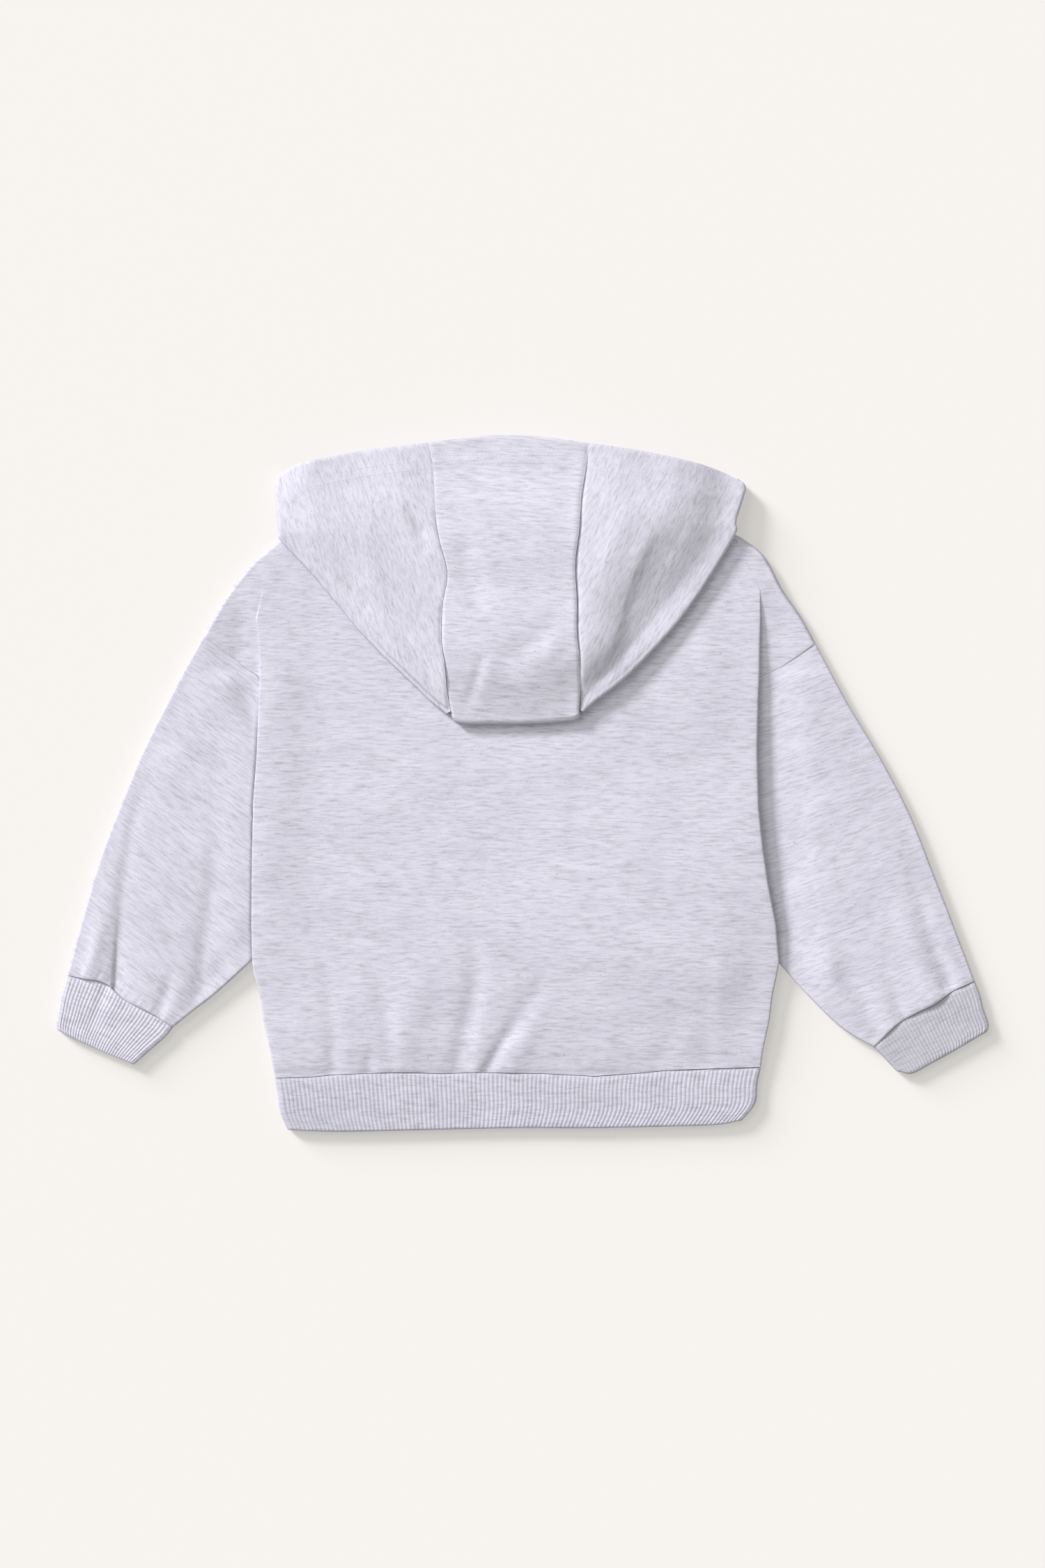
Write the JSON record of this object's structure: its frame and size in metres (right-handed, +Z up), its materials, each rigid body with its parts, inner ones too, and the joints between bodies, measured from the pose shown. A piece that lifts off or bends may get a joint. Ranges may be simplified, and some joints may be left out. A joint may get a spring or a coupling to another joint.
{
  "type": "toddler hoodie",
  "caption": "Toddler's pull-on hooded sweatshirt in heather fleece, laid flat with its back up, hood spread open, sleeves drawn down, ribbed cuffs and hem.",
  "frame": {"origin": "centre of the area that the laid-out garment covers, on the surface that it lies on", "axes": "+Z up out of the surface, +Y from the hem towards the hood, +X towards the wearer's right sleeve, since the back is up"},
  "size_m": [0.6676, 0.4991, 0.0285],
  "materials": {
    "fleece": "heather lavender-grey brushed sweatshirt fleece",
    "rib": "heather lavender-grey rib knit"
  },
  "bodies": {
    "root": {"front_panel": "fleece", "back_panel": "fleece", "sleeve_left": "fleece", "sleeve_right": "fleece", "cuff_left": "rib", "cuff_right": "rib", "hem_band": "rib", "hood_left": "fleece", "hood_centre": "fleece", "hood_right": "fleece"}
  },
  "joints": []
}
